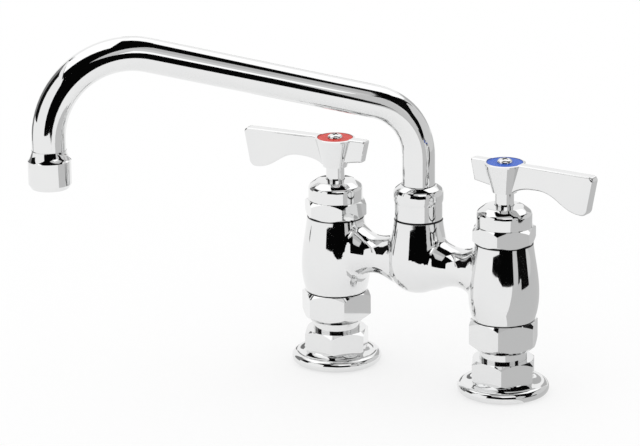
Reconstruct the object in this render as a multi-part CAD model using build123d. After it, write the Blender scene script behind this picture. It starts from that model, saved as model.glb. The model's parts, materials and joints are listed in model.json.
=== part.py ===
"""Deck-mount faucet: two-inlet bridge body, swinging tube spout, quarter-turn lever valves.

Millimetres. The origin lies on the deck midway between the two inlets, +X runs to the cold
inlet, -Y is the front (sink side) and +Z is up.
"""
import os
from math import cos, radians, sin, sqrt, tan

from build123d import *

# Inlets and deck flanges
inlet_spacing = 101.6          # centre to centre of the two inlets (4 in)
flange_radius = 24.2
flange_rim = 6.2               # height of the rounded rim
flange_rim_inset = 2.6         # rim's widest ring to its top edge
flange_dish = 0.6              # hollow between the rim and the wrench hexagon
flange_crown = 7.6             # foot of the wrench hexagon above the deck
inlet_hex_flats = 31.75        # across flats (1 1/4 in)
inlet_hex_height = 11.2
hex_chamfer_angle = 40.0       # chamfer of every wrench hexagon, from its end face
tail_radius = 12.4             # outside of the inlet tailpiece
pipe_bore_radius = 9.13        # tapping bore of the 1/2 in pipe thread
pipe_bore_depth = 14.0
water_bore_radius = 7.0
tail_head_lip = 1.2            # head of the tailpiece beyond its outside
tail_head_height = 2.2
neck_show = 5.4                # tailpiece seen between its hexagon and the coupling nut

# Coupling nuts
coupling_flats = 33.5
coupling_height = 16.0
coupling_lip = 3.2
coupling_foot_radius = 14.6    # flat ring left under the lower chamfer
body_thread_margin = 0.4       # male tail of the body beyond the tailpiece's head
washer_thick = 1.6

# Body casting
foot_gap = 0.2                 # coupling nut to body foot
foot_radius = 16.6
belly_radius = 18.5            # widest ring of the barrel
belly_height = 12.6            # widest ring above the foot
shoulder_radius = 16.95        # barrel between its belly and its top
shoulder_drop = 11.4           # that ring below the top of the barrel
barrel_top_radius = 15.3
barrel_height = 41.4
barrel_foot_round = 0.9
arm_drop = 18.0                # bridge axis below the top of the barrels
waist_radius = 10.3            # thinnest section of a bridge arm
waist_offset = 7.4             # thinnest section to the belly of the barrel
arm_mouth_height = 14.4        # half height where an arm runs into a barrel
arm_mouth_depth = 12.6
arm_root_rise = 3.2            # underside of an arm's root above the underside of the boss
arm_root_depth = 12.2
arm_mouth_inset = 3.0          # arm mouth inside the barrel's belly
arm_bury = 5.0                 # arm ends inside the boss and the barrels
arm_height_share = 0.26        # halfway to an end, share of its extra height already gained
arm_depth_share = 0.4
arm_fillet = 4.0               # where the arms run into the boss and the barrels
boss_radius = 13.0
boss_rise = 23.7               # boss top above the bridge axis
boss_lean = 6.5                # degrees that its side is off upright at the top
boss_top_round = 0.6
boss_belly_radius = 16.2
boss_belly_drop = 3.0          # widest ring below the bridge axis
boss_depth = 16.8              # rounded underside below the bridge axis
waterway_radius = 4.5
chamber_depth = 31.8
valve_thread_radius = 12.2
valve_thread_depth = 11.3
valve_thread_step = 1.0        # valve thread to the wall of the chamber below it
bonnet_seal_width = 1.3        # square seal let into the top of the barrel

# Valve cartridges
bonnet_flats = 30.0
bonnet_hex_height = 9.2
bonnet_sleeve_play = 1.0       # water space between the sleeve and the chamber
bonnet_sleeve_wall = 1.2
bonnet_window = 8.4
bonnet_neck_radius = 11.0
bonnet_neck_height = 6.4
cap_flats = 28.0
cap_turned_radius = 15.4       # corners of the cap's hexagon are turned to this radius
cap_height = 11.45
cap_dome = 6.25                # height of the rounded shoulder
cap_bulge = 0.672              # middle of its curve: 0.5 is a plain bevel, 0.71 a quarter circle
cap_crown_radius = 9.8
cap_crown_rise = 0.25
seal_thick = 2.4
seal_bore_radius = 5.4
disc_thick = 3.0
port_radius = 2.1
port_offset = 4.9
drive_thick = 2.6
tongue_width = 3.6
tongue_depth = 1.2
stem_radius = 4.95
stem_show = 6.65               # stem seen between the cap and the handle
thrust_thick = 1.0
clip_thick = 0.8
clip_radius = 6.6
clip_mouth = 6.0               # open side of the split clip
o_ring_section = 1.5           # section diameter of the stem seals
stem_seal_places = (12.0, 17.0)  # centres above the drive head

# Lever handles
hub_foot_radius = 6.6
hub_top_radius = 10.7
hub_height = 14.5
hub_rim_width = 1.1
hub_rim_height = 1.2
hub_rim_bevel = 0.25
drive_end_radius = 4.3         # stem end inside the hub
drive_end_flats = 7.0          # across the two flats that turn it
drive_end_length = 9.4
lever_length = 54.1            # axis to the top of the tip
lever_thick = 6.4
lever_edge = 1.3               # rounding of the blade's edges
lever_lift = 0.25              # top of the blade above the hub's rim
lever_waist = 12.0             # depth of the blade where it is narrowest
lever_waist_place = 21.0
lever_root_rise = 0.45         # underside of the wing above the hub's foot
lever_tip_depth = 21.2
lever_tip_rake = 3.3           # the tip leans back this much from top to bottom
lever_tip_radius = 4.0
lever_tip_corner = 2.4         # rounding of its upper corner
lever_tail = 19.4              # short end of the blade
lever_tail_depth = 11.8
lever_tail_rake = 2.6
lever_tail_rise = 2.5          # underside of the tail above the hub's foot
lever_set = 3.8                # degrees that the closed levers stand towards the front
index_thick = 1.0
screw_head_radius = 4.0
screw_head_height = 2.0
screw_recess = 1.0
screw_radius = 2.0
screw_length = 15.0

# Spout
socket_radius = 9.6            # bore that the spout's ferrule turns in
socket_depth = 36.5
spigot_wall = 1.7              # threaded spigot on top of the boss
spigot_height = 10.5
nut_wall = 1.4
nut_skirt_height = 8.9
nut_skirt_bevel = 0.5
nut_head_step = 0.6            # head of the swivel nut beyond its skirt
nut_head_height = 9.8
nut_head_round = 3.6
ferrule_flange_inset = 0.4     # ferrule's flange inside the spigot's outline
ferrule_flange = 2.4
ferrule_depth = 22.0           # ferrule below its flange
ferrule_bore = 6.4
ferrule_spigot = 9.0           # length brazed inside the tube
glide_thick = 0.6
spout_seal_section = 1.7
spout_seal_places = (8.0, 14.0)  # below the ferrule's flange
tube_radius = 8.75
tube_wall = 1.2
spout_reach = 194.9            # swivel axis to outlet axis
spout_yaw = 44.0               # degrees from straight ahead towards the hot side
spout_slope = 15.5             # rise of the run in degrees
spout_riser = 15.55            # straight tube between the swivel nut and the first bend
first_bend_radius = 31.7
outlet_bend_radius = 41.2
outlet_drop = 5.65             # straight tube between the second bend and the collar
collar_wall = 2.3              # collar beyond the tube
collar_height = 14.4
collar_flare = 5.3
collar_flare_edge = 0.3        # thickness left at the top of the flare
collar_bevel = 1.35
collar_bevel_height = 2.3
tube_socket = 5.0              # tube held inside the collar
insert_wall = 0.8              # collar left round the stream straightener
insert_height = 6.5
insert_recess = 0.8
insert_hole_radius = 1.3
insert_hole_pitch = 3.5

# Clearances
turn_gap = 0.05                # radial play of what turns
seat_gap = 0.05                # radial play of what is screwed, pressed or brazed
lap_gap = 0.02                 # between the two lapped discs
slide_gap = 0.05               # axial play of what turns
loose_gap = 0.2                # round what turns without being guided

# Radii that follow from the fits
tail_head_radius = tail_radius + tail_head_lip
body_thread_radius = tail_head_radius + body_thread_margin
chamber_radius = valve_thread_radius - valve_thread_step
bonnet_sleeve_radius = chamber_radius - bonnet_sleeve_play
sleeve_bore = bonnet_sleeve_radius - bonnet_sleeve_wall
drive_radius = sleeve_bore - loose_gap
stem_groove_radius = stem_radius - o_ring_section
cup_radius = hub_top_radius - hub_rim_width
index_radius = cup_radius - 2 * seat_gap
spigot_radius = socket_radius + spigot_wall
nut_skirt_radius = spigot_radius + nut_wall
nut_head_radius = nut_skirt_radius + nut_head_step
ferrule_flange_radius = spigot_radius - ferrule_flange_inset
plug_radius = socket_radius - turn_gap
tube_bore = tube_radius - tube_wall
tube_hole = tube_radius + loose_gap
collar_radius = tube_radius + collar_wall
insert_radius = collar_radius - collar_bevel - insert_wall

# Angles to which each hexagon happened to be tightened, hot side then cold side
inlet_hex_turns = (-7.8, -5.3)
coupling_turns = (13.3, -10.4)
bonnet_turns = (12.0, -14.4)
cap_turns = (16.5, 8.9)

# Heights above the deck
inlet_hex_top = flange_crown + inlet_hex_height
coupling_foot = inlet_hex_top + neck_show
coupling_top = coupling_foot + coupling_height
tail_seat = coupling_foot + coupling_lip
tail_top = tail_seat + tail_head_height
thread_foot = tail_top + washer_thick
body_foot = coupling_top + foot_gap
barrel_top = body_foot + barrel_height
arm_axis = barrel_top - arm_drop
boss_top = arm_axis + boss_rise
boss_foot = arm_axis - boss_depth
chamber_floor = barrel_top - chamber_depth
thread_floor = barrel_top - valve_thread_depth
bonnet_top = barrel_top + bonnet_hex_height
neck_top = bonnet_top + bonnet_neck_height
cap_top = bonnet_top + cap_height
fixed_disc_foot = chamber_floor + seal_thick
moving_disc_foot = fixed_disc_foot + disc_thick + lap_gap
drive_foot = moving_disc_foot + disc_thick
drive_top = drive_foot + drive_thick
thrust_top = drive_top + thrust_thick
clip_foot = neck_top + slide_gap
hub_foot = cap_top + stem_show
index_seat = hub_foot + hub_height
screw_seat = index_seat + index_thick
stem_top = hub_foot + drive_end_length
spigot_top = boss_top + spigot_height
flange_foot = spigot_top + slide_gap
tube_foot = flange_foot + ferrule_flange
lip_foot = tube_foot + glide_thick + slide_gap
nut_step = boss_top + nut_skirt_height
nut_top = nut_step + nut_head_height
bend_start = nut_top + spout_riser
run_start_reach = first_bend_radius * (1 - sin(radians(spout_slope)))
run_start = bend_start + first_bend_radius * cos(radians(spout_slope))
run_end_reach = spout_reach - outlet_bend_radius * (1 + sin(radians(spout_slope)))
run_end = run_start + (run_end_reach - run_start_reach) * tan(radians(spout_slope))
drop_start = run_end - outlet_bend_radius * cos(radians(spout_slope))
collar_top = drop_start - outlet_drop - collar_flare
outlet_height = collar_top - collar_height
insert_foot = outlet_height + insert_recess
insert_top = insert_foot + insert_height


def turned(*corners):
    """Solid turned about Z from its half section: corners (radius, height)."""
    return revolve(Plane.XZ * make_face(Polyline(*corners, close=True)), Axis.Z)


def turned_outline(*edges):
    """Solid turned about Z from a closed outline of lines, arcs and curves in (radius, height)."""
    return revolve(Plane.XZ * make_face(Curve() + list(edges)), Axis.Z)


def rod(radius, low, high):
    return Pos(0, 0, low) * Cylinder(radius, high - low, align=(Align.CENTER, Align.CENTER, Align.MIN))


def bar(length, width, low, high):
    return Pos(0, 0, low) * Box(length, width, high - low, align=(Align.CENTER, Align.CENTER, Align.MIN))


def tube_ring(inner, outer, low, high):
    return rod(outer, low, high) - rod(inner, low, high)


def seal_ring(bottom_radius, section, height):
    """Round seal seated in a groove whose floor has the given radius."""
    return Pos(0, 0, height) * Torus(bottom_radius + section / 2, section / 2)


def hexagon(flats, low, high):
    return Pos(0, 0, low) * extrude(RegularPolygon(flats / 2, 6, major_radius=False), high - low)


def wrench_hex(flats, foot_ring, low, high):
    """Hexagon with its corners chamfered at both ends; foot_ring is the flat ring left underneath."""
    corner = flats / sqrt(3)
    rise = tan(radians(hex_chamfer_angle))
    return hexagon(flats, low, high) & turned(
        (0, low), (foot_ring, low), (corner, low + (corner - foot_ring) * rise),
        (corner, high - (corner - flats / 2) * rise), (flats / 2, high), (0, high),
    )


def deck_flange(turn):
    """Round flange with a wrench hexagon on its back, screwed round the inlet tailpiece."""
    bore = tail_radius + seat_gap
    rim_top = flange_radius - flange_rim_inset
    hex_foot_radius = inlet_hex_flats / 2
    dish_radius = (rim_top + hex_foot_radius) / 2
    plate = turned_outline(
        Line((bore, 0), (rim_top, 0)),
        ThreePointArc((rim_top, 0), (flange_radius, flange_rim / 2), (rim_top, flange_rim)),
        ThreePointArc((rim_top, flange_rim), (dish_radius, (flange_rim + flange_crown) / 2 - flange_dish),
                      (hex_foot_radius, flange_crown)),
        Line((hex_foot_radius, flange_crown), (bore, flange_crown)),
        Line((bore, flange_crown), (bore, 0)),
    )
    nut = Rot(0, 0, turn) * wrench_hex(inlet_hex_flats, hex_foot_radius, flange_rim, inlet_hex_top)
    return plate + nut - rod(bore, 0, inlet_hex_top)


def inlet_tailpiece():
    """Tube with a female pipe thread below and a flat head that the coupling nut draws up."""
    outside = rod(tail_radius, 0, tail_top) + rod(tail_head_radius, tail_seat, tail_top)
    return outside - rod(pipe_bore_radius, 0, pipe_bore_depth) - rod(water_bore_radius, 0, tail_top)


def coupling_nut(turn):
    """Union nut: its lip lifts the tailpiece's head against the washer."""
    blank = wrench_hex(coupling_flats, coupling_foot_radius, coupling_foot, coupling_top)
    bored = blank - rod(body_thread_radius + seat_gap, tail_seat, coupling_top)
    return Rot(0, 0, turn) * (bored - rod(tail_radius + seat_gap, coupling_foot, tail_seat))


def coupling_washer():
    return tube_ring(water_bore_radius, tail_head_radius, tail_top, thread_foot)


def barrel():
    """Vase-shaped valve barrel with its male thread below."""
    foot_flat = foot_radius - barrel_foot_round
    side_foot = body_foot + barrel_foot_round
    side = Spline((foot_radius, side_foot), (belly_radius, body_foot + belly_height),
                  (shoulder_radius, barrel_top - shoulder_drop), (barrel_top_radius, barrel_top))
    return turned_outline(
        Line((0, thread_foot), (body_thread_radius, thread_foot)),
        Line((body_thread_radius, thread_foot), (body_thread_radius, body_foot)),
        Line((body_thread_radius, body_foot), (foot_flat, body_foot)),
        RadiusArc((foot_flat, body_foot), (foot_radius, side_foot), -barrel_foot_round),
        side,
        Line((barrel_top_radius, barrel_top), (0, barrel_top)),
        Line((0, barrel_top), (0, thread_foot)),
    )


def spout_boss():
    """Centre boss, rounded underneath, with the threaded spigot for the swivel nut."""
    lean = radians(boss_lean)
    side_top = boss_top - boss_top_round
    top_flat = boss_radius - boss_top_round
    boss = turned_outline(
        Line((0, boss_foot), (0, boss_top)),
        Line((0, boss_top), (top_flat, boss_top)),
        RadiusArc((top_flat, boss_top), (boss_radius, side_top), boss_top_round),
        Spline((boss_radius, side_top), (boss_belly_radius, arm_axis - boss_belly_drop), (0, boss_foot),
               tangents=[(sin(lean), -cos(lean)), (-1, 0)]),
    )
    return boss + rod(spigot_radius, boss_top, spigot_top)


def bridge_arm(side):
    """Arm from the boss to a barrel: a loft that is waisted in the middle and flares at both ends."""
    belly_face = inlet_spacing / 2 - belly_radius

    def between(place, height, depth):
        return ((place + belly_face - waist_offset) / 2,
                waist_radius + (height - waist_radius) * arm_height_share,
                waist_radius + (depth - waist_radius) * arm_depth_share)

    root = (boss_radius, boss_depth - arm_root_rise, arm_root_depth)
    waist = (belly_face - waist_offset, waist_radius, waist_radius)
    mouth = (belly_face + arm_mouth_inset, arm_mouth_height, arm_mouth_depth)
    in_boss = (root[0] - arm_bury, *root[1:])
    in_barrel = (mouth[0] + arm_bury, *mouth[1:])
    sections = [
        Plane((side * place, 0, arm_axis), x_dir=(0, 1, 0), z_dir=(side, 0, 0)) * Ellipse(depth, height)
        for place, height, depth in (in_boss, root, between(*root), waist, between(*mouth), mouth, in_barrel)
    ]
    return loft(sections)


def body_casting():
    """One-piece bridge body with its valve chambers, waterways and spout socket."""
    half = inlet_spacing / 2
    seam_back = Rot(0, 0, 90)
    body = seam_back * spout_boss()
    for side in (-1, 1):
        body += bridge_arm(side)
        body += Pos(side * half, 0, 0) * seam_back * barrel()
    body = fillet(body.edges().filter_by(GeomType.BSPLINE), arm_fillet)
    seal_floor = barrel_top - bonnet_seal_width - slide_gap
    chamber = rod(chamber_radius, chamber_floor, barrel_top)
    chamber += rod(valve_thread_radius, thread_floor, barrel_top)
    chamber += rod(valve_thread_radius + bonnet_seal_width + seat_gap, seal_floor, barrel_top)
    chamber += rod(water_bore_radius, thread_foot, chamber_floor)
    for side in (-1, 1):
        body -= Pos(side * half, 0, 0) * chamber
    body -= Pos(-half, 0, arm_axis) * Rot(0, 90, 0) * rod(waterway_radius, 0, inlet_spacing)
    return body - rod(socket_radius, spigot_top - socket_depth, spigot_top)


def valve_bonnet(turn):
    """Cartridge body: hexagon, thread, slotted sleeve round the discs, neck for the cap."""
    bore = stem_radius + turn_gap
    foot = fixed_disc_foot - seal_thick / 2
    shell = rod(valve_thread_radius - seat_gap, thread_floor + seat_gap, barrel_top)
    shell += rod(bonnet_sleeve_radius, foot, thread_floor + seat_gap)
    shell += Rot(0, 0, turn) * wrench_hex(bonnet_flats, bonnet_flats / 2, barrel_top, bonnet_top)
    shell += rod(bonnet_neck_radius, bonnet_top, neck_top)
    shell -= rod(sleeve_bore, foot, thrust_top + slide_gap)
    shell -= rod(bore, foot, neck_top)
    return shell - bar(2 * chamber_radius, bonnet_window, foot, drive_foot)


def bonnet_seal():
    return tube_ring(valve_thread_radius, valve_thread_radius + bonnet_seal_width,
                     barrel_top - bonnet_seal_width, barrel_top)


def bonnet_cap(turn):
    """Hexagon nut with a rounded dome, screwed over the bonnet's neck and the stem's clip."""
    hole = stem_radius + loose_gap
    shoulder = cap_top - cap_crown_rise
    dome_foot = shoulder - cap_dome
    width = cap_turned_radius - cap_crown_radius
    dome = turned_outline(
        Line((0, bonnet_top), (cap_turned_radius, bonnet_top)),
        Line((cap_turned_radius, bonnet_top), (cap_turned_radius, dome_foot)),
        ThreePointArc((cap_turned_radius, dome_foot),
                      (cap_crown_radius + width * cap_bulge, dome_foot + cap_dome * cap_bulge),
                      (cap_crown_radius, shoulder)),
        Line((cap_crown_radius, shoulder), (hole, cap_top)),
        Line((hole, cap_top), (0, cap_top)),
        Line((0, cap_top), (0, bonnet_top)),
    )
    clip_room = clip_foot + clip_thick + loose_gap
    blank = Rot(0, 0, turn) * (hexagon(cap_flats, bonnet_top, cap_top) & dome)
    return (blank - rod(bonnet_neck_radius + seat_gap, bonnet_top, neck_top)
            - rod(clip_radius + loose_gap, neck_top, clip_room) - rod(hole, bonnet_top, cap_top))


def seat_seal():
    return tube_ring(seal_bore_radius, sleeve_bore - seat_gap, chamber_floor, fixed_disc_foot)


def port_pair(low, high):
    """Two round waterway ports, one each side of the valve's axis."""
    port = rod(port_radius, low, high)
    return Pos(port_offset, 0, 0) * port + Pos(-port_offset, 0, 0) * port


def fixed_disc():
    """Lapped disc with two ports, keyed into the sleeve's slots by its ears."""
    top = fixed_disc_foot + disc_thick
    ears = bar(2 * bonnet_sleeve_radius, bonnet_window - 2 * seat_gap, fixed_disc_foot, top)
    disc = rod(sleeve_bore - seat_gap, fixed_disc_foot, top)
    disc += ears & rod(bonnet_sleeve_radius, fixed_disc_foot, top)
    return disc - port_pair(fixed_disc_foot, top)


def moving_disc():
    """Lapped disc that the stem turns: its side notches stand a quarter turn off when the valve is shut."""
    low, high = moving_disc_foot, drive_foot
    notch_length = 2 * drive_radius - port_offset
    notch = Pos(notch_length / 2, 0, 0) * bar(notch_length, 2 * port_radius, low, high)
    notch += rod(port_radius, low, high)
    disc = rod(drive_radius, low, high)
    for turn in (90, 270):
        disc -= Rot(0, 0, turn) * Pos(port_offset, 0, 0) * notch
    return disc - bar(2 * drive_radius, tongue_width + 2 * seat_gap, high - tongue_depth - seat_gap, high)


def drive_end(low, high, play=0.0):
    """Stem end with two flats, or the hole for it when some play is given."""
    radius = drive_end_radius + play
    return rod(radius, low, high) & bar(2 * radius, drive_end_flats + 2 * play, low, high)


def valve_stem():
    """Stem: drive head with its tongue, seal and clip grooves, handle end tapped for the screw."""
    tongue_foot = drive_foot - tongue_depth
    tongue = bar(2 * drive_radius, tongue_width, tongue_foot, drive_foot)
    stem = tongue & rod(drive_radius, tongue_foot, drive_foot)
    stem += rod(drive_radius, drive_foot, drive_top)
    stem += rod(stem_radius, drive_top, hub_foot)
    stem += drive_end(hub_foot, stem_top)
    for place in stem_seal_places:
        half = o_ring_section / 2 + seat_gap
        middle = drive_top + place
        stem -= tube_ring(stem_groove_radius, 2 * stem_radius, middle - half, middle + half)
    clip_groove_top = clip_foot + clip_thick + slide_gap
    stem -= tube_ring(drive_end_radius - seat_gap, 2 * stem_radius, clip_foot, clip_groove_top)
    return stem - rod(screw_radius + seat_gap, screw_seat - screw_length - seat_gap, stem_top)


def stem_seals():
    return Compound(children=[seal_ring(stem_groove_radius, o_ring_section, drive_top + place)
                              for place in stem_seal_places])


def thrust_washer():
    return tube_ring(stem_radius + seat_gap, drive_radius, drive_top, thrust_top)


def stem_clip():
    """Split clip in the stem's groove, resting on the bonnet's neck."""
    ring = tube_ring(drive_end_radius, clip_radius, clip_foot, clip_foot + clip_thick)
    return ring - Pos(clip_radius, 0, 0) * bar(2 * clip_radius, clip_mouth, clip_foot, clip_foot + clip_thick)


def lever_blade():
    """Flat blade seen from the front: long wing, waist, root swept into the hub's foot, short raked tail."""
    top = index_seat + hub_rim_height + lever_lift
    tip_foot = lever_length - lever_tip_rake
    wing_end = tip_foot - lever_tip_radius
    wing_low = top - lever_tip_depth
    tip_low = wing_low + lever_tip_radius
    waist_low = top - lever_waist
    tail_low = top - lever_tail_depth
    wing_root = hub_foot + lever_root_rise
    tail_root = hub_foot + lever_tail_rise
    outline = make_face(Curve() + [
        Line((-lever_tail, top), (lever_length, top)),
        Line((lever_length, top), (tip_foot, tip_low)),
        RadiusArc((tip_foot, tip_low), (wing_end, wing_low), lever_tip_radius),
        Spline((wing_end, wing_low), (lever_waist_place, waist_low), tangents=[(-1, 0), (-1, 0)]),
        Spline((lever_waist_place, waist_low), (hub_foot_radius, wing_root), tangents=[(-1, 0), (-1, -0.75)]),
        Line((hub_foot_radius, wing_root), (-hub_foot_radius, tail_root)),
        Line((-hub_foot_radius, tail_root), (lever_tail_rake - lever_tail, tail_low)),
        Line((lever_tail_rake - lever_tail, tail_low), (-lever_tail, top)),
    ])
    outline = fillet(outline.vertices().sort_by(Axis.X)[-1], lever_tip_corner)
    blade = Pos(0, lever_thick / 2, 0) * extrude(Plane.XZ * outline, lever_thick)
    flat_edges = blade.faces().filter_by(Axis.Y).edges()
    tail_end = blade.edges().filter_by(Axis.Y).group_by(Axis.Z)[-1].sort_by(Axis.X)[0]
    return fillet(flat_edges + [tail_end], lever_edge)


def lever_handle():
    """Lever on a tapered hub with a shallow cup for the index ring."""
    rim_top = index_seat + hub_rim_height
    hub = turned((0, hub_foot), (hub_foot_radius, hub_foot), (hub_top_radius, index_seat),
                 (hub_top_radius, rim_top - hub_rim_bevel), (hub_top_radius - hub_rim_width / 2, rim_top),
                 (0, rim_top))
    handle = hub + lever_blade()
    handle -= rod(cup_radius, index_seat, 2 * index_seat)
    handle -= drive_end(hub_foot, stem_top + seat_gap, seat_gap)
    return handle - rod(screw_radius + 2 * seat_gap, hub_foot, index_seat)


def index_ring():
    """Coloured marking ring clamped under the handle screw."""
    return tube_ring(screw_radius + 2 * seat_gap, index_radius, index_seat, screw_seat)


def handle_screw():
    """Raised-head screw from the top of the hub into the stem, with a cross recess."""
    top = screw_seat + screw_head_height
    head = turned_outline(
        Line((0, screw_seat), (screw_head_radius, screw_seat)),
        Spline((screw_head_radius, screw_seat), (0, top), tangents=[(0, 1), (-1, 0)]),
        Line((0, top), (0, screw_seat)),
    )
    slot = bar(screw_head_radius, screw_head_radius / 4, top - screw_recess, top)
    shank = rod(screw_radius, screw_seat - screw_length, screw_seat)
    return head - slot - Rot(0, 0, 90) * slot + shank


def spout_swivel_nut():
    """Round nut on the boss's spigot: skirt below, rounded head above, lip over the ferrule."""
    head_foot = nut_step + nut_head_step
    head_flat = nut_head_radius - nut_head_round
    round_foot = nut_top - nut_head_round
    outside = turned_outline(
        Line((0, boss_top), (nut_skirt_radius - nut_skirt_bevel, boss_top)),
        Line((nut_skirt_radius - nut_skirt_bevel, boss_top), (nut_skirt_radius, boss_top + nut_skirt_bevel)),
        Line((nut_skirt_radius, boss_top + nut_skirt_bevel), (nut_skirt_radius, nut_step)),
        Line((nut_skirt_radius, nut_step), (nut_head_radius, head_foot)),
        Line((nut_head_radius, head_foot), (nut_head_radius, round_foot)),
        RadiusArc((nut_head_radius, round_foot), (head_flat, nut_top), -nut_head_round),
        Line((head_flat, nut_top), (0, nut_top)),
        Line((0, nut_top), (0, boss_top)),
    )
    return outside - rod(spigot_radius + seat_gap, boss_top, lip_foot) - rod(tube_hole, boss_top, nut_top)


def spout_ferrule():
    """Turned foot of the spout: sealed plug in the socket, flange on the spigot, stub in the tube."""
    stub = tube_bore - seat_gap
    low = flange_foot - ferrule_depth
    high = tube_foot + ferrule_spigot
    ferrule = rod(plug_radius, low, flange_foot)
    ferrule += rod(ferrule_flange_radius, flange_foot, tube_foot)
    ferrule += rod(stub, tube_foot, high)
    for place in spout_seal_places:
        half = spout_seal_section / 2 + seat_gap
        middle = flange_foot - place
        ferrule -= tube_ring(plug_radius - spout_seal_section, 2 * plug_radius, middle - half, middle + half)
    return ferrule - rod(ferrule_bore, low, high)


def spout_seals():
    floor = plug_radius - spout_seal_section
    return Compound(children=[seal_ring(floor, spout_seal_section, flange_foot - place)
                              for place in spout_seal_places])


def spout_glide():
    """Slippery washer between the ferrule's flange and the nut's lip."""
    return tube_ring(tube_hole, ferrule_flange_radius, tube_foot, tube_foot + glide_thick)


def spout_line():
    """Centre line of the tube in its own plane (reach, height): riser, bend, rising run, bend, drop."""
    return Curve() + [
        Line((0, tube_foot), (0, bend_start)),
        RadiusArc((0, bend_start), (run_start_reach, run_start), first_bend_radius),
        Line((run_start_reach, run_start), (run_end_reach, run_end)),
        RadiusArc((run_end_reach, run_end), (spout_reach, drop_start), outlet_bend_radius),
        Line((spout_reach, drop_start), (spout_reach, collar_top - tube_socket)),
    ]


def spout_tube():
    ring = Pos(0, 0, tube_foot) * (Circle(tube_radius) - Circle(tube_bore))
    return sweep(ring, path=(Plane.XZ * spout_line()).wire())


def outlet_collar():
    """End fitting brazed on the tube: flared top, bevelled foot, bored for the straightener."""
    skin = tube_radius + seat_gap
    flare_top = collar_top + collar_flare
    flare_edge = skin + collar_flare_edge
    bevel_top = outlet_height + collar_bevel_height
    flare = Spline((collar_radius, collar_top), (flare_edge, flare_top), tangents=[(-1, 1), (0, 1)])
    outside = turned_outline(
        Line((0, outlet_height), (collar_radius - collar_bevel, outlet_height)),
        Line((collar_radius - collar_bevel, outlet_height), (collar_radius, bevel_top)),
        Line((collar_radius, bevel_top), (collar_radius, collar_top)),
        flare,
        Line((flare_edge, flare_top), (0, flare_top)),
        Line((0, flare_top), (0, outlet_height)),
    )
    return (outside - rod(skin, collar_top - tube_socket, flare_top)
            - rod(insert_radius + seat_gap, outlet_height, insert_top + washer_thick)
            - rod(tube_bore, outlet_height, collar_top))


def stream_insert():
    """Perforated plug that straightens the stream."""
    hole = rod(insert_hole_radius, insert_foot, insert_top)
    plug = rod(insert_radius, insert_foot, insert_top) - hole
    for ring in (1, 2):
        for place in PolarLocations(ring * insert_hole_pitch, 6 * ring):
            plug -= place * hole
    return plug


def outlet_washer():
    return tube_ring(tube_bore, insert_radius, insert_top, insert_top + washer_thick)


def side_pieces(name, side, index):
    """Every piece of one inlet and its valve, in place."""
    aim = lever_set + 180 if side < 0 else -lever_set
    place = Pos(side * inlet_spacing / 2, 0, 0)
    handle_place = place * Rot(0, 0, aim)
    fixed = {
        "deck_flange": deck_flange(inlet_hex_turns[index]),
        "inlet_tailpiece": inlet_tailpiece(),
        "coupling_nut": coupling_nut(coupling_turns[index]),
        "coupling_washer": coupling_washer(),
        "valve_bonnet": valve_bonnet(bonnet_turns[index]),
        "bonnet_seal": bonnet_seal(),
        "bonnet_cap": bonnet_cap(cap_turns[index]),
        "seat_seal": seat_seal(),
        "fixed_disc": fixed_disc(),
    }
    turning = {
        "moving_disc": moving_disc(),
        "valve_stem": valve_stem(),
        "stem_seals": stem_seals(),
        "thrust_washer": thrust_washer(),
        "stem_clip": stem_clip(),
        "lever_handle": lever_handle(),
        "index_ring": index_ring(),
        "handle_screw": handle_screw(),
    }
    pieces = {f"{name}_{key}": place * solid for key, solid in fixed.items()}
    pieces.update({f"{name}_{key}": handle_place * solid for key, solid in turning.items()})
    return pieces


def spout_pieces():
    """Every piece that swings with the spout, in its photographed position."""
    swing = Rot(0, 0, -90 - spout_yaw)
    outlet = Pos(spout_reach, 0, 0)
    pieces = {
        "spout_tube": spout_tube(),
        "spout_ferrule": spout_ferrule(),
        "spout_seals": spout_seals(),
        "spout_glide": spout_glide(),
        "outlet_collar": outlet * outlet_collar(),
        "stream_insert": outlet * stream_insert(),
        "outlet_washer": outlet * outlet_washer(),
    }
    return {key: swing * solid for key, solid in pieces.items()}


def main():
    pieces = {"body_casting": body_casting(), "spout_swivel_nut": spout_swivel_nut()}
    pieces.update(side_pieces("hot", -1, 0))
    pieces.update(side_pieces("cold", 1, 1))
    pieces.update(spout_pieces())
    os.makedirs("parts", exist_ok=True)
    for name, solid in pieces.items():
        export_step(solid, f"parts/{name}.step")
    print(len(pieces), "pieces written")


main()
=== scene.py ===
import json
import math

import bmesh
import bpy
from mathutils import Matrix, Vector


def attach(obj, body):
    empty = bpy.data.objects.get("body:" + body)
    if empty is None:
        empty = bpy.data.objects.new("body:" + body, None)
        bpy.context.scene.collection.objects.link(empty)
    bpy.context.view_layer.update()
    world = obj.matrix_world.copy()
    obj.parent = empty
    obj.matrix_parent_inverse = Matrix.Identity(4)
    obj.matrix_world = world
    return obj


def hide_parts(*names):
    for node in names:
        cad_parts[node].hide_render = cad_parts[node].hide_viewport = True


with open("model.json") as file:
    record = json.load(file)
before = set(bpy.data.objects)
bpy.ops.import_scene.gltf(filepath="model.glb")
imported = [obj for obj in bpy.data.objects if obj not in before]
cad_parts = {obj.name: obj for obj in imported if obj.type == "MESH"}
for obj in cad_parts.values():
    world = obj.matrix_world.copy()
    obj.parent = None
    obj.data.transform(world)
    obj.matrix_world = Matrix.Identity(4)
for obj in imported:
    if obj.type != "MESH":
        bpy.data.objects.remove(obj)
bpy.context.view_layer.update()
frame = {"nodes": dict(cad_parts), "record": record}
nodes = frame["nodes"]
subparts = frame["record"]["subparts"]
inletCentres = {"hot": -0.0508, "cold": 0.0508}  # along the faucet's width, in metres
print("frame loaded,", len(nodes), "nodes")


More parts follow.
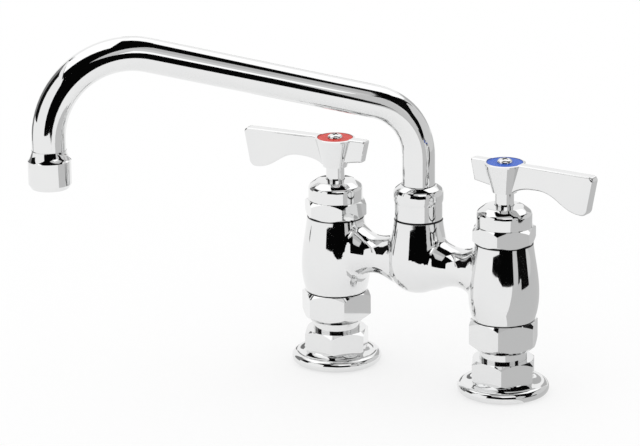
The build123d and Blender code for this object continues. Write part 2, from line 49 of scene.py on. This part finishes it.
# one output socket; the operators add Math nodes to its material
class Wire:
    def __init__(self, finish, socket):
        self.finish = finish
        self.socket = socket

    def maths(self, operation, *values):
        return self.finish.node("ShaderNodeMath", {"operation": operation}, dict(enumerate(values)))

    def __add__(self, other):
        return self.maths("ADD", self, other)

    def __radd__(self, other):
        return self.maths("ADD", other, self)

    def __sub__(self, other):
        return self.maths("SUBTRACT", self, other)

    def __rsub__(self, other):
        return self.maths("SUBTRACT", other, self)

    def __mul__(self, other):
        return self.maths("MULTIPLY", self, other)

    def __rmul__(self, other):
        return self.maths("MULTIPLY", other, self)

    def __gt__(self, other):
        return self.maths("GREATER_THAN", self, other)

    def __lt__(self, other):
        return self.maths("LESS_THAN", self, other)

    def __abs__(self):
        return self.maths("ABSOLUTE", self)


# a material, or the world, and the nodes in it
class Finish:
    def __init__(self, name, tree=None):
        if tree is None:
            self.material = bpy.data.materials.new(name)
            self.material.use_nodes = True
            tree = self.material.node_tree
        self.tree = tree
        self.tree.nodes.clear()

    def node(self, kind, settings=None, inputs=None, output=0):
        made = self.tree.nodes.new(kind)
        for key, value in (settings or {}).items():
            setattr(made, key, value)
        for key, value in (inputs or {}).items():
            if isinstance(value, Wire):
                self.tree.links.new(value.socket, made.inputs[key])
            else:
                made.inputs[key].default_value = value
        return Wire(self, made.outputs[output]) if made.outputs else None

    def vectorMaths(self, operation, *values, output=0):
        settings = {"operation": operation}
        return self.node("ShaderNodeVectorMath", settings, dict(enumerate(values)), output)

    def place(self, centre=(0, 0, 0), stretch=(1, 1, 1)):
        coordinates = self.node("ShaderNodeTexCoord", output="Object")
        moved = self.vectorMaths("SUBTRACT", coordinates, centre)
        return self.vectorMaths("MULTIPLY", moved, stretch)

    # distance from an upright axis
    def radius(self, centre):
        return self.vectorMaths("LENGTH", self.place((centre, 0, 0), (1, 1, 0)), output="Value")

    def noise(self, vector, scale, detail, roughness=0.5):
        return self.node("ShaderNodeTexNoise", None, {
            "Vector": vector, "Scale": scale, "Detail": detail, "Roughness": roughness})

    # 0 up to the first of the limits, 1 from the second on
    def rise(self, value, limits):
        return self.node("ShaderNodeMapRange", None, {
            "Value": value, "From Min": limits[0], "From Max": limits[1]})

    def blend(self, factor, *colours):
        first, second = [end if isinstance(end, Wire) else (*end, 1) for end in colours]
        inputs = {0: factor, 6: first, 7: second}  # the colour pair of a node that mixes many kinds
        return self.node("ShaderNodeMix", {"data_type": "RGBA"}, inputs, output=2)

    def bump(self, height, strength, distance):
        return self.node("ShaderNodeBump", None, {
            "Height": height, "Strength": strength, "Distance": distance})

    def surface(self, sockets):
        shader = self.node("ShaderNodeBsdfPrincipled", None, sockets)
        self.node("ShaderNodeOutputMaterial", None, {"Surface": shader})
        return self.material


# a value that runs from the first of the ends to the second
def between(ends, amount):
    low, high = ends
    return low + amount * (high - low)


# chrome plate: bright metal, faint haze from wiping, and the ripple left by each way of working
chromeLook = {
    "bright": (0.83, 0.83, 0.825),
    "dull": (0.79, 0.795, 0.80),
    "roughness": (0.025, 0.055),
    "haze": {"scale": 55.0, "detail": 4.0},
    "ripple": {"detail": 1.0, "roughness": 0.3, "strength": 1.0},
    "works": {
        "turned": {"scale": 60.0, "depth": 0.00002},
        "cast": {"scale": 75.0, "depth": 0.00012},
        "forged": {"scale": 75.0, "depth": 0.00012},
        "drawn": {"scale": 30.0, "depth": 0.00002},
    },
}

# painted shade: a dark line painted into the chrome just under the tops of the barrels and of the
# boss, for the joints' shadow and the dark reflection of the parts above
jointShadeLook = {
    "barrelTop": 0.0818,
    "bossTop": 0.0875,
    "bossReach": 0.025,  # the boss lies within this distance of the middle, the barrels beyond it
    "line": (0.0003, 0.0007),  # full down to the first depth under the top, gone at the second
    # colour of the painted shade line
    "dark": (0.02, 0.02, 0.02),
}


# painted shade mask: 1 in a thin band just under the boss's top and the barrels' tops, fading to 0
# below
def paintedJointShade(finish, place):
    across = finish.node("ShaderNodeSeparateXYZ", None, {0: place}, output="X")
    height = finish.node("ShaderNodeSeparateXYZ", None, {0: place}, output="Z")
    onBarrel = abs(across) > jointShadeLook["bossReach"]
    under = between((jointShadeLook["bossTop"], jointShadeLook["barrelTop"]), onBarrel) - height
    full, gone = jointShadeLook["line"]
    return finish.node("ShaderNodeMapRange", {"interpolation_type": "SMOOTHSTEP"}, {
        "Value": under, "From Min": full, "From Max": gone, "To Min": 1.0, "To Max": 0.0})


def plateHaze(finish, place):
    haze = finish.noise(place, chromeLook["haze"]["scale"], chromeLook["haze"]["detail"])
    return haze, finish.blend(haze, chromeLook["bright"], chromeLook["dull"])


def chromeFinish(work):
    finish = Finish(work + "Chrome")
    place = finish.place()
    haze, colour = plateHaze(finish, place)
    # painted shade: darkens the cast chrome's colour in the band under the joints
    if work == "cast":
        colour = finish.blend(paintedJointShade(finish, place), colour, jointShadeLook["dark"])
    left, ripple = chromeLook["works"][work], chromeLook["ripple"]
    waves = finish.noise(place, left["scale"], ripple["detail"], ripple["roughness"])
    return finish.surface({
        "Base Color": colour,
        "Metallic": 1.0,
        "Roughness": between(chromeLook["roughness"], haze),
        "Normal": finish.bump(waves, ripple["strength"], left["depth"]),
    })


# index rings: satin printed plastic with a darker rim
ringLook = {
    "hot": {"print": (0.76, 0.055, 0.04), "edge": (0.42, 0.02, 0.015)},
    "cold": {"print": (0.03, 0.13, 0.64), "edge": (0.012, 0.05, 0.32)},
    "rim": (0.0088, 0.0098),
    "roughness": (0.30, 0.42),
    "specular": 0.12,
    "grain": {"scale": 900.0, "detail": 3.0, "strength": 0.15, "depth": 0.00005},
}


def ringFinish(side):
    finish = Finish(side + "RingPlastic")
    rim = finish.rise(finish.radius(inletCentres[side]), ringLook["rim"])
    look = ringLook["grain"]
    grain = finish.noise(finish.place(), look["scale"], look["detail"])
    return finish.surface({
        "Base Color": finish.blend(rim, ringLook[side]["print"], ringLook[side]["edge"]),
        "Roughness": between(ringLook["roughness"], grain),
        "Specular IOR Level": ringLook["specular"],
        "Normal": finish.bump(grain, look["strength"], look["depth"]),
    })


# what sits inside: each with its own grain, colour pair and roughness
innerGrain = {"detail": 4.0, "strength": 0.5}
innerLooks = {
    "black_rubber": {
        "colours": ((0.012, 0.012, 0.012), (0.03, 0.03, 0.029)), "metallic": 0.0,
        "roughness": (0.55, 0.8), "scale": 900.0, "depth": 0.00006},
    "fibre_washer": {
        "colours": ((0.22, 0.06, 0.045), (0.36, 0.12, 0.085)), "metallic": 0.0,
        "roughness": (0.7, 0.9), "scale": 600.0, "depth": 0.0001},
    "white_ceramic": {
        "colours": ((0.86, 0.85, 0.82), (0.92, 0.91, 0.89)), "metallic": 0.0,
        "roughness": (0.12, 0.25), "scale": 300.0, "depth": 0.00001},
    "slip_plastic": {
        "colours": ((0.78, 0.77, 0.72), (0.88, 0.87, 0.83)), "metallic": 0.0,
        "roughness": (0.35, 0.5), "scale": 400.0, "depth": 0.00003},
    "grey_plastic": {
        "colours": ((0.36, 0.37, 0.39), (0.46, 0.47, 0.49)), "metallic": 0.0,
        "roughness": (0.4, 0.55), "scale": 700.0, "depth": 0.00005},
    "plain_brass": {
        "colours": ((0.70, 0.53, 0.25), (0.80, 0.64, 0.35)), "metallic": 1.0,
        "roughness": (0.18, 0.32), "scale": 250.0, "depth": 0.00003},
    "spring_steel": {
        "colours": ((0.55, 0.55, 0.56), (0.66, 0.66, 0.66)), "metallic": 1.0,
        "roughness": (0.2, 0.35), "scale": 500.0, "depth": 0.00003},
}


def innerFinish(slot):
    look = innerLooks[slot]
    finish = Finish(slot)
    grain = finish.noise(finish.place(), look["scale"], innerGrain["detail"])
    return finish.surface({
        "Base Color": finish.blend(grain, *look["colours"]),
        "Metallic": look["metallic"],
        "Roughness": between(look["roughness"], grain),
        "Normal": finish.bump(grain, innerGrain["strength"], look["depth"]),
    })


# tailpiece: plated outside, bare brass with tool rings in its bore
boreLook = {
    "edge": (0.0092, 0.0093),
    "brass": (0.74, 0.57, 0.29),
    "roughness": (0.3, 0.4),
    "plateSmoother": 0.27,
    "rings": {"scale": 9000.0, "detail": 0.0, "strength": 0.6, "depth": 0.00004},
}


def boredFinish(side):
    finish = Finish(side + "TailpiecePlate")
    plate = plateHaze(finish, finish.place())[1]
    plated = finish.rise(finish.radius(inletCentres[side]), boreLook["edge"])
    look = boreLook["rings"]
    rings = finish.noise(finish.place(stretch=(0, 0, 1)), look["scale"], look["detail"])
    return finish.surface({
        "Base Color": finish.blend(plated, boreLook["brass"], plate),
        "Metallic": 1.0,
        "Roughness": between(boreLook["roughness"], rings) - plated * boreLook["plateSmoother"],
        "Normal": finish.bump(rings * (1 - plated), look["strength"], look["depth"]),
    })


finishes = {slot: innerFinish(slot) for slot in innerLooks}
chromes = {work: chromeFinish(work) for work in chromeLook["works"]}
finishes["polished_chrome"] = chromes["turned"]
ownFinish = {"body_casting": chromes["cast"], "spout_tube": chromes["drawn"]}
for side in inletCentres:
    finishes[side + "_index"] = ringFinish(side)
    ownFinish[side + "_lever_handle"] = chromes["forged"]
    ownFinish[side + "_inlet_tailpiece"] = boredFinish(side)
for part in subparts:
    mesh = nodes[part["node"]].data
    mesh.materials.clear()
    mesh.materials.append(ownFinish.get(part["node"], finishes[part["material_slot"]]))
print("finishes on", len(subparts), "nodes")


# an object at the origin with the bmesh's shape
def addMesh(name, shape, material):
    mesh = bpy.data.meshes.new(name)
    shape.to_mesh(mesh)
    shape.free()
    mesh.materials.append(material)
    made = bpy.data.objects.new(name, mesh)
    bpy.context.scene.collection.objects.link(made)
    return made


# a turned piece's outline: the side from the foot up, then bends of
# (radius, lean in degrees where it ends, steps), then the inside going down
def turnedOutline(shape):
    outline = list(shape["side"])
    radius, height = outline[-1]
    lean = 0.0
    for bend, last, steps in shape["bends"]:
        across = radius - bend * math.cos(lean)
        base = height - bend * math.sin(lean)
        first = lean
        for step in range(1, steps + 1):
            lean = first + (math.radians(last) - first) * step / steps
            radius, height = across + bend * math.cos(lean), base + bend * math.sin(lean)
            outline.append((radius, height))
    return outline + list(shape["inside"])


turning = {"steps": 96, "mergeWithin": 0.000001}


def addTurned(name, shape, centre, node):
    shell = bmesh.new()
    points = [shell.verts.new((radius, 0, height)) for radius, height in turnedOutline(shape)]
    edges = [shell.edges.new(pair) for pair in zip(points, points[1:] + points[:1])]
    bmesh.ops.spin(shell, geom=points + edges, cent=(0, 0, 0), axis=(0, 0, 1), angle=math.tau,
                   steps=turning["steps"], use_merge=True)
    bmesh.ops.remove_doubles(shell, verts=shell.verts, dist=turning["mergeWithin"])
    bmesh.ops.recalc_face_normals(shell, faces=shell.faces)
    bmesh.ops.translate(shell, verts=shell.verts, vec=(centre, 0, 0))
    for face in shell.faces:
        face.smooth = True
    piece = addMesh(name, shell, chromes["turned"])
    piece.data.set_sharp_from_angle(angle=math.radians(shape["sharp"]))
    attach(piece, "body")
    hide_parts(node)


# bonnet caps: plain side, a tight roll at the shoulder and a low dome
capShape = {
    "sharp": 24,
    "side": ((0.01455, 0.0910), (0.01455, 0.09695)),
    "bends": ((0.003, 50.0, 9), (0.020, 60.0, 6), (0.0022, 85.0, 6)),
    "inside": ((0.00515, 0.1020), (0.00515, 0.09845), (0.0068, 0.09845), (0.0068, 0.0974),
               (0.01105, 0.0974), (0.01105, 0.0910)),
}
for side, centre in inletCentres.items():
    addTurned(side + "BonnetCap", capShape, centre, side + "_bonnet_cap")

# swivel nut: straight skirt, and a full round head over it
nutShape = {
    "sharp": 30,
    "side": ((0.0122, 0.0875), (0.0127, 0.0880), (0.0127, 0.0964), (0.01286, 0.09645),
             (0.01305, 0.0971), (0.01322, 0.0980), (0.0133, 0.0990), (0.0133, 0.1008)),
    "bends": ((0.0055, 30.0, 6), (0.0022, 49.0, 5), (0.014, 60.0, 5), (0.003, 80.0, 5)),
    "inside": ((0.00895, 0.1012), (0.01135, 0.1012), (0.01135, 0.0875)),
}
addTurned("swivelNut", nutShape, 0.0, "spout_swivel_nut")
print("turned pieces in")


# crests of the pipe thread inside each inlet
threadCrests = {
    "radius": 0.00911,
    "rise": 0.00024,
    "pitch": 0.001814,
    "turns": 7,
    "foot": 0.0004,
    "section": (0.0, 0.00045, 0.00085, 0.0013),
    "stepsPerTurn": 48,
}


def addThreads(side, centre):
    thread = threadCrests
    outer, crest = thread["radius"], thread["radius"] - thread["rise"]
    helix = bmesh.new()
    corners = [helix.verts.new((reach, 0, thread["foot"] + height))
               for reach, height in zip((outer, crest, crest, outer), thread["section"])]
    profile = helix.faces.new(corners)
    bmesh.ops.spin(helix, geom=corners + list(profile.edges) + [profile], cent=(0, 0, 0),
                   axis=(0, 0, 1), dvec=(0, 0, thread["pitch"] / thread["stepsPerTurn"]),
                   angle=math.tau * thread["turns"], steps=thread["turns"] * thread["stepsPerTurn"])
    bmesh.ops.recalc_face_normals(helix, faces=helix.faces)
    bmesh.ops.translate(helix, vec=(centre, 0, 0), verts=helix.verts)
    piece = addMesh(side + "PipeThread", helix, ownFinish[side + "_inlet_tailpiece"])
    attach(piece, "body")


for side, centre in inletCentres.items():
    addThreads(side, centre)
print("pipe threads in")


# photograph's camera: azimuth from straight in front towards the cold side
cameraView = {
    "azimuth": 31.24,
    "elevation": 16.61,
    "distance": 1.6122,
    "target": (-0.0607, 0.0, 0.07578),
    "roll": -0.58,
    "lens": 168.75,
    "sensor": 36.0,
    "clipEnd": 50.0,
}


def turn(degrees, axis):
    return Matrix.Rotation(math.radians(degrees), 4, axis)


def addCamera():
    view = cameraView
    data = bpy.data.cameras.new("photoCamera")
    data.lens = view["lens"]
    data.sensor_width = view["sensor"]
    data.clip_end = view["clipEnd"]
    camera = bpy.data.objects.new("photoCamera", data)
    bpy.context.scene.collection.objects.link(camera)
    away = turn(view["azimuth"], "Z") @ turn(90 - view["elevation"], "X")
    back = Matrix.Translation((0, 0, view["distance"])) @ turn(view["roll"], "Z")
    camera.matrix_world = Matrix.Translation(view["target"]) @ away @ back
    bpy.context.scene.camera = camera


addCamera()
print("camera set")


# pale floor, set just under the flanges' undersides
floorLook = {
    "size": 12.0,
    "gap": 0.0002,
    "colour": (1.0, 1.0, 1.0, 1.0),
    "glow": 0.6,
    "grain": {"scale": 400.0, "detail": 3.0, "strength": 0.1, "depth": 0.0002},
}


def floorFinish():
    paper = Finish("floorPaper")
    look = floorLook["grain"]
    grain = paper.noise(paper.place(), look["scale"], look["detail"])
    diffuse = paper.node("ShaderNodeBsdfDiffuse", None, {
        "Color": floorLook["colour"],
        "Normal": paper.bump(grain, look["strength"], look["depth"])})
    glow = paper.node("ShaderNodeEmission", None, {"Color": floorLook["colour"], "Strength": 1.0})
    seen = paper.node("ShaderNodeLightPath", output="Is Camera Ray")
    glossy = paper.node("ShaderNodeLightPath", output="Is Glossy Ray")
    clear = paper.node("ShaderNodeLightPath", output="Is Transmission Ray")
    share = (seen + glossy + clear) * floorLook["glow"]
    mixed = paper.node("ShaderNodeMixShader", None, {0: share, 1: diffuse, 2: glow})
    paper.node("ShaderNodeOutputMaterial", None, {"Surface": mixed})
    return paper.material


def addFloor():
    sheet = bmesh.new()
    bmesh.ops.create_grid(sheet, x_segments=1, y_segments=1, size=floorLook["size"] / 2)
    bmesh.ops.translate(sheet, verts=sheet.verts, vec=(0, 0, -floorLook["gap"]))
    floor = addMesh("studioFloor", sheet, floorFinish())


# black flags, grey cloths and lamps' faces that only the chrome sees; level 1 is white, and each
# corner is so far to the right of the camera's line, towards the camera and up, in metres
cards = {
    "frontFlag": {"level": 0.002, "corners": (
        (-0.42, 0.50, 0.056), (-0.16, 0.50, 0.056), (-0.02, 0.50, 0.02), (0.30, 0.50, 0.02),
        (0.30, 0.50, 0.36), (0.36, 0.50, 0.42), (0.52, 0.50, 0.61), (-0.58, 0.50, 0.61),
        (-0.42, 0.50, 0.48))},
    "frontRightCloth": {"level": 0.63, "corners": (
        (0.30, 0.50, 0.0), (0.60, 0.50, 0.0), (0.60, 0.50, 0.60), (0.52, 0.50, 0.60),
        (0.36, 0.50, 0.42), (0.30, 0.50, 0.36))},
    "softboxNear": {"level": 0.55, "corners": (
        (-0.05, 0.085, 0.32), (0.05, 0.07, 0.32), (0.104, 0.055, 0.32), (0.155, 0.15, 0.32),
        (-0.085, 0.15, 0.32))},
    "softboxMiddle": {"level": 0.7, "corners": (
        (-0.085, 0.15, 0.32), (0.155, 0.15, 0.32), (0.20, 0.25, 0.32), (-0.13, 0.25, 0.32))},
    "softboxLeft": {"level": 0.62, "corners": (
        (-0.13, 0.25, 0.32), (-0.03, 0.25, 0.32), (0.0, 0.46, 0.32), (-0.154, 0.302, 0.32))},
    "softboxRight": {"level": 1.25, "corners": (
        (-0.03, 0.25, 0.32), (0.20, 0.25, 0.32), (0.276, 0.401, 0.32), (0.08, 0.45, 0.32),
        (0.0, 0.46, 0.32))},
    "topFlag": {"level": 0.002, "corners": (
        (-0.62, -0.13, 0.61), (0.05, -0.13, 0.61), (0.25, -0.02, 0.61), (0.45, -0.05, 0.61),
        (0.60, -0.22, 0.61), (0.60, 0.50, 0.61), (-0.62, 0.50, 0.61))},
    "topLeftSoftbox": {"level": 1.25, "corners": (
        (-0.60, -0.45, 0.60), (-0.143, -0.45, 0.60), (-0.143, 0.19, 0.60), (-0.60, 0.19, 0.60))},
    "topBackSoftbox": {"level": 1.25, "corners": (
        (-0.14, -0.60, 0.605), (0.60, -0.60, 0.605), (0.60, -0.23, 0.605), (0.45, -0.06, 0.605),
        (0.25, -0.03, 0.605), (0.05, -0.14, 0.605), (-0.14, -0.14, 0.605))},
    "leftFlag": {"level": 0.006, "corners": (
        (-0.60, -0.20, 0.15), (-0.60, 0.055, 0.15), (-0.60, 0.055, 0.51), (-0.60, -0.20, 0.51))},
    "leftBackCloth": {"level": 0.22, "corners": (
        (-0.60, -0.60, 0.0), (-0.60, -0.20, 0.0), (-0.60, -0.20, 0.52), (-0.60, -0.60, 0.52))},
    "leftTopFlag": {"level": 0.01, "corners": (
        (-0.595, -0.60, 0.50), (-0.595, -0.38, 0.57), (-0.50, -0.30, 0.595),
        (-0.55, -0.30, 0.595), (-0.595, -0.38, 0.60), (-0.595, -0.60, 0.60))},
    "rightTopFlag": {"level": 0.01, "corners": (
        (0.44, -0.05, 0.595), (0.50, -0.05, 0.595), (0.595, -0.20, 0.55), (0.595, -0.40, 0.43),
        (0.595, -0.40, 0.50), (0.56, -0.28, 0.595))},
    "backRightCloth": {"level": 0.5, "corners": (
        (0.12, -0.60, 0.10), (0.58, -0.60, 0.10), (0.58, -0.60, 0.55), (0.30, -0.60, 0.40),
        (0.12, -0.60, 0.22))},
    "backLowCloth": {"level": 0.2, "corners": (
        (-0.20, -0.60, 0.08), (0.03, -0.60, 0.08), (0.03, -0.60, 0.19), (-0.20, -0.60, 0.19))},
    "rightWall": {"level": 0.70, "corners": (
        (0.61, -0.60, 0.0), (0.61, 0.50, 0.0), (0.61, 0.50, 0.60), (0.61, -0.60, 0.60))},
    "rightFlag": {"level": 0.003, "corners": (
        (0.60, 0.34, 0.04), (0.60, 0.42, 0.02), (0.60, 0.50, 0.02), (0.60, 0.50, 0.10),
        (0.60, 0.47, 0.17), (0.60, 0.40, 0.286), (0.60, 0.37, 0.40), (0.60, 0.37, 0.51),
        (0.60, 0.50, 0.54), (0.60, 0.50, 0.61), (0.60, -0.28, 0.61), (0.60, -0.28, 0.52),
        (0.60, 0.0, 0.51), (0.60, 0.15, 0.49), (0.60, 0.15, 0.40), (0.60, 0.155, 0.25),
        (0.60, 0.21, 0.17))},
    "frontLowFlag": {"level": 0.004, "corners": (
        (0.48, 0.499, 0.0), (0.60, 0.499, 0.0), (0.60, 0.499, 0.07), (0.52, 0.499, 0.055))},
    "rightLowFlag": {"level": 0.004, "corners": (
        (0.35, 0.25, 0.0), (0.435, 0.06, 0.0), (0.435, 0.06, 0.062), (0.35, 0.25, 0.062))},
    "greySheet": {"level": 0.60, "corners": (
        (0.05, 0.11, 0.001), (0.06, -0.10, 0.001), (1.0, -1.7, 0.001), (2.0, 0.0, 0.001),
        (0.9, 1.8, 0.001))},
}


def cardFinish(name, level):
    return Finish(name).surface({
        "Base Color": (0, 0, 0, 1),
        "Specular IOR Level": 0.0,
        "Emission Color": (1, 1, 1, 1),
        "Emission Strength": level,
    })


def addCard(name, card):
    toCamera = turn(cameraView["azimuth"], "Z")
    sheet = bmesh.new()
    sheet.faces.new([sheet.verts.new(toCamera @ Vector((right, -near, up)))
                     for right, near, up in card["corners"]])
    bmesh.ops.triangulate(sheet, faces=sheet.faces)
    made = addMesh(name, sheet, cardFinish(name + "Face", card["level"]))
    made.visible_camera = False
    made.visible_diffuse = False
    made.visible_shadow = False


# white room round everything
roomLight = {"Color": (1, 1, 1, 1), "Strength": 1.0}


def addRoom():
    world = bpy.data.worlds.new("whiteRoom")
    bpy.context.scene.world = world
    world.use_nodes = True
    room = Finish("whiteRoom", world.node_tree)
    light = room.node("ShaderNodeBackground", None, roomLight)
    room.node("ShaderNodeOutputWorld", None, {"Surface": light})


addFloor()
for name, card in cards.items():
    addCard(name, card)
addRoom()
bpy.context.scene.view_settings.view_transform = "Standard"
print("studio set")
